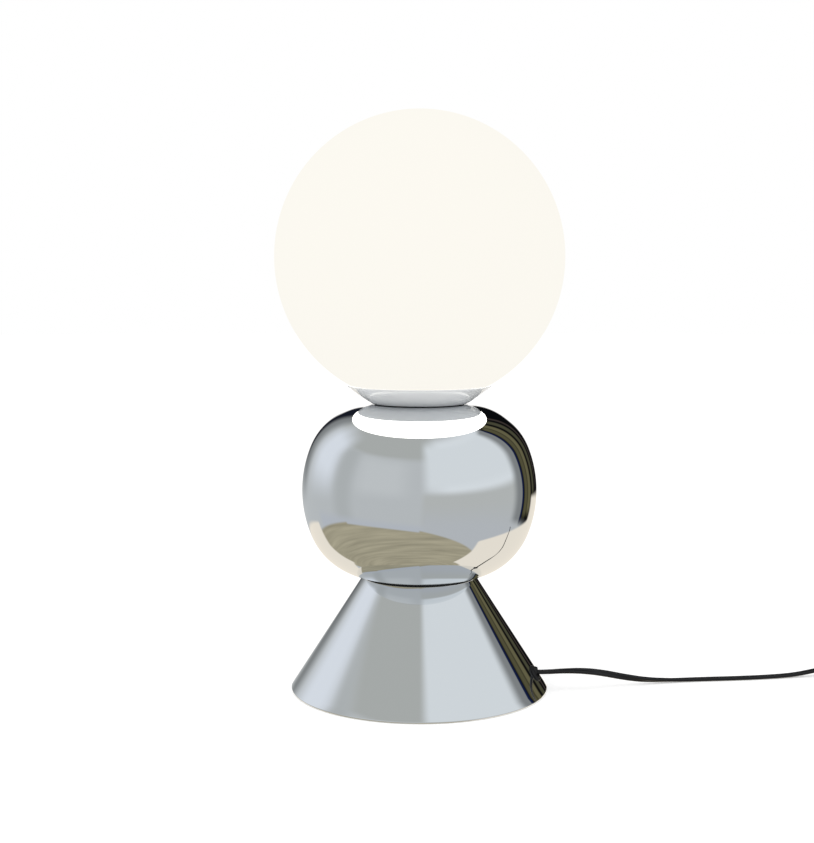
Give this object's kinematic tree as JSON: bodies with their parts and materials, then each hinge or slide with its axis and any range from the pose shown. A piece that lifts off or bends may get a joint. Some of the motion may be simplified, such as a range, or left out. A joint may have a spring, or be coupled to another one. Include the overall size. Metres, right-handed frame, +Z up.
{
  "type": "globe table lamp",
  "caption": "Table lamp: an opal globe in a shallow white dish on a chrome ball and a chrome cone, with a cord, in-line switch and plug.",
  "frame": {"origin": "centre of the base on the table top", "axes": "+Z up the lamp's axis; the cord leaves low on the cone about 12 degrees from +X towards -Y; the picture looks along +Y"},
  "size_m": [0.6239, 0.25, 0.5034],
  "materials": {
    "pad_foam": "matt closed-cell foam",
    "cast_iron": "as cast, dark primer",
    "chrome": "mirror polish",
    "black_rubber": "matt moulded",
    "nylon": "natural nylon, satin",
    "zinc_steel": "zinc plated",
    "white_enamel": "gloss enamel",
    "silicone": "translucent silicone",
    "opal_glass": "satin opal, lit from inside",
    "spring_steel": "bright rolled",
    "black_moulding": "moulded, satin gloss",
    "steatite": "unglazed",
    "brass": "machined",
    "wire_pvc": "satin",
    "tinned": "tinned",
    "nickel_cap": "nickel plated",
    "bulb_white": "satin white",
    "bulb_diffuser": "frosted diffuser",
    "cord_pvc": "satin PVC",
    "tie_plastic": "satin",
    "plug_pvc": "satin moulded PVC",
    "nickel_pins": "nickel plated brass",
    "switch_plastic": "satin gloss"
  },
  "bodies": {
    "base": {"base_pad": "pad_foam", "base_weight": "cast_iron", "base_cone": "chrome", "cord_bushing": "black_rubber", "cord_clamp": "nylon", "clamp_screws": "zinc_steel", "centre_rod": "zinc_steel", "rod_lower_washer": "zinc_steel", "rod_lower_nut": "zinc_steel", "rod_upper_nut": "zinc_steel", "seat_gasket": "black_rubber", "body_shell": "chrome", "spacer_tube": "zinc_steel", "cup_gasket": "black_rubber", "cup": "white_enamel", "globe_seat_ring": "silicone", "globe_clip": "spring_steel", "holder_cap": "black_moulding", "holder_core": "steatite", "holder_terminals": "brass", "holder_wires": "wire_pvc", "holder_screw_shell": "brass", "holder_skirt": "black_moulding", "holder_contact": "brass", "inner_flex": "cord_pvc", "cord": "cord_pvc", "cord_link": "cord_pvc", "cord_coil": "cord_pvc", "coil_tie": "tie_plastic", "plug_lead": "cord_pvc", "plug_body": "plug_pvc", "plug_pins": "nickel_pins", "switch_base": "switch_plastic", "switch_cover": "switch_plastic", "switch_terminals": "brass", "switch_screws": "zinc_steel", "switch_wires": "wire_pvc"},
    "globe": {"opal_globe": "opal_glass"},
    "bulb": {"bulb_contact": "tinned", "bulb_insulator": "black_moulding", "bulb_cap": "nickel_cap", "bulb_collar": "bulb_white", "bulb_dome": "bulb_diffuser"},
    "rocker": {"switch_rocker": "switch_plastic"}
  },
  "joints": [
    {"name": "globe_lift", "type": "slide", "parent": "base", "child": "globe", "axis": [0, 0, 1], "range_m": [0, 0.16]},
    {"name": "bulb_unscrew", "type": "slide", "parent": "base", "child": "bulb", "axis": [0, 0, 1], "range_m": [0, 0.025]},
    {"name": "switch_rock", "type": "hinge", "parent": "base", "child": "rocker", "pos_m": [0.416, 0.034, 0.0135], "axis": [0, 1, 0], "range_deg": [0, 14]}
  ]
}
